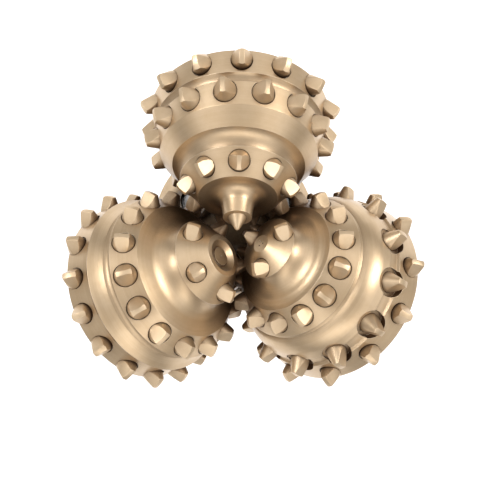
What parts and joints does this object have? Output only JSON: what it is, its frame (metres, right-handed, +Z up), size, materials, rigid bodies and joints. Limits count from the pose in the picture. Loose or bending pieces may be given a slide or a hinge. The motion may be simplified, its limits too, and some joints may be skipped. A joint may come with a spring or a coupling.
{
  "type": "roller cone drill bit",
  "caption": "Roller cone rock drill bit: legs welded to a tapered threaded pin carry spinning cones set with rows of chisel inserts that crush rock; drilling mud leaves by jet nozzles.",
  "frame": {"origin": "centre of the pin's end face, on the bit's axis", "axes": "+Z up the bit's axis from the pin to the cutting face, +Y towards leg 1 and its cone"},
  "size_m": [0.3068, 0.2971, 0.4137],
  "materials": {
    "leg_paint": "satin",
    "cone_paint": "satin",
    "insert_paint": "satin",
    "carbide_grey": "satin",
    "nozzle_carbide": "satin",
    "seal_rubber": "matte",
    "bearing_bronze": "satin",
    "bearing_steel": "polished",
    "plain_steel": "satin"
  },
  "bodies": {
    "bit_body": {"ball_plugs": "bearing_steel", "leg_1": "leg_paint", "leg_2": "leg_paint", "leg_3": "leg_paint", "nozzle_1": "nozzle_carbide", "nozzle_2": "nozzle_carbide", "nozzle_3": "nozzle_carbide", "nozzle_seals": "seal_rubber", "nozzle_snap_rings": "plain_steel", "reservoir_cap_1": "plain_steel", "reservoir_cap_2": "plain_steel", "reservoir_cap_3": "plain_steel", "reservoir_cup_1": "plain_steel", "reservoir_cup_2": "plain_steel", "reservoir_cup_3": "plain_steel", "reservoir_diaphragm_1": "seal_rubber", "reservoir_diaphragm_2": "seal_rubber", "reservoir_diaphragm_3": "seal_rubber", "reservoir_snap_rings": "plain_steel", "shirttail_buttons": "carbide_grey"},
    "cone_1_body": {"apex_insert_1": "insert_paint", "cone_1": "cone_paint", "cone_seal_1": "seal_rubber", "gauge_inserts_1": "insert_paint", "heel_inserts_1": "carbide_grey", "middle_inserts_1": "insert_paint", "nose_inserts_1": "insert_paint", "pilot_bushing_1": "bearing_bronze", "thrust_button_1": "bearing_bronze", "thrust_washer_1": "bearing_bronze"},
    "rollers_1": {"main_rollers_1": "bearing_steel"},
    "balls_1": {"retaining_balls_1": "bearing_steel"},
    "cone_2_body": {"cone_2": "cone_paint", "cone_seal_2": "seal_rubber", "gauge_inserts_2": "insert_paint", "heel_inserts_2": "carbide_grey", "middle_inserts_2": "insert_paint", "nose_inserts_2": "insert_paint", "pilot_bushing_2": "bearing_bronze", "thrust_button_2": "bearing_bronze", "thrust_washer_2": "bearing_bronze"},
    "rollers_2": {"main_rollers_2": "bearing_steel"},
    "balls_2": {"retaining_balls_2": "bearing_steel"},
    "cone_3_body": {"cone_3": "cone_paint", "cone_seal_3": "seal_rubber", "gauge_inserts_3": "insert_paint", "heel_inserts_3": "carbide_grey", "middle_inserts_3": "insert_paint", "nose_inserts_3": "insert_paint", "pilot_bushing_3": "bearing_bronze", "thrust_button_3": "bearing_bronze", "thrust_washer_3": "bearing_bronze", "trimmer_inserts_3": "insert_paint"},
    "rollers_3": {"main_rollers_3": "bearing_steel"},
    "balls_3": {"retaining_balls_3": "bearing_steel"}
  },
  "joints": [
    {"name": "cone_spin_1", "type": "hinge", "parent": "bit_body", "child": "cone_1_body", "pos_m": [-0.00525, 0.10064, 0.31964], "axis": [0, 0.8387, -0.5446], "continuous": true},
    {"name": "roller_orbit_1", "type": "hinge", "parent": "bit_body", "child": "rollers_1", "pos_m": [-0.00525, 0.10064, 0.31964], "axis": [0, 0.8387, -0.5446], "continuous": true},
    {"name": "ball_orbit_1", "type": "hinge", "parent": "bit_body", "child": "balls_1", "pos_m": [-0.00525, 0.10064, 0.31964], "axis": [0, 0.8387, -0.5446], "continuous": true},
    {"name": "cone_spin_2", "type": "hinge", "parent": "bit_body", "child": "cone_2_body", "pos_m": [-0.08453, -0.05487, 0.31964], "axis": [-0.7263, -0.4193, -0.5446], "continuous": true},
    {"name": "roller_orbit_2", "type": "hinge", "parent": "bit_body", "child": "rollers_2", "pos_m": [-0.08453, -0.05487, 0.31964], "axis": [-0.7263, -0.4193, -0.5446], "continuous": true},
    {"name": "ball_orbit_2", "type": "hinge", "parent": "bit_body", "child": "balls_2", "pos_m": [-0.08453, -0.05487, 0.31964], "axis": [-0.7263, -0.4193, -0.5446], "continuous": true},
    {"name": "cone_spin_3", "type": "hinge", "parent": "bit_body", "child": "cone_3_body", "pos_m": [0.08978, -0.04577, 0.31964], "axis": [0.7263, -0.4193, -0.5446], "continuous": true},
    {"name": "roller_orbit_3", "type": "hinge", "parent": "bit_body", "child": "rollers_3", "pos_m": [0.08978, -0.04577, 0.31964], "axis": [0.7263, -0.4193, -0.5446], "continuous": true},
    {"name": "ball_orbit_3", "type": "hinge", "parent": "bit_body", "child": "balls_3", "pos_m": [0.08978, -0.04577, 0.31964], "axis": [0.7263, -0.4193, -0.5446], "continuous": true}
  ],
  "couplings": [
    {"joint": "roller_orbit_1", "follows": "cone_spin_1", "ratio": 0.5645},
    {"joint": "ball_orbit_1", "follows": "cone_spin_1", "ratio": 0.6054},
    {"joint": "roller_orbit_2", "follows": "cone_spin_2", "ratio": 0.5645},
    {"joint": "ball_orbit_2", "follows": "cone_spin_2", "ratio": 0.6054},
    {"joint": "roller_orbit_3", "follows": "cone_spin_3", "ratio": 0.5645},
    {"joint": "ball_orbit_3", "follows": "cone_spin_3", "ratio": 0.6054}
  ]
}
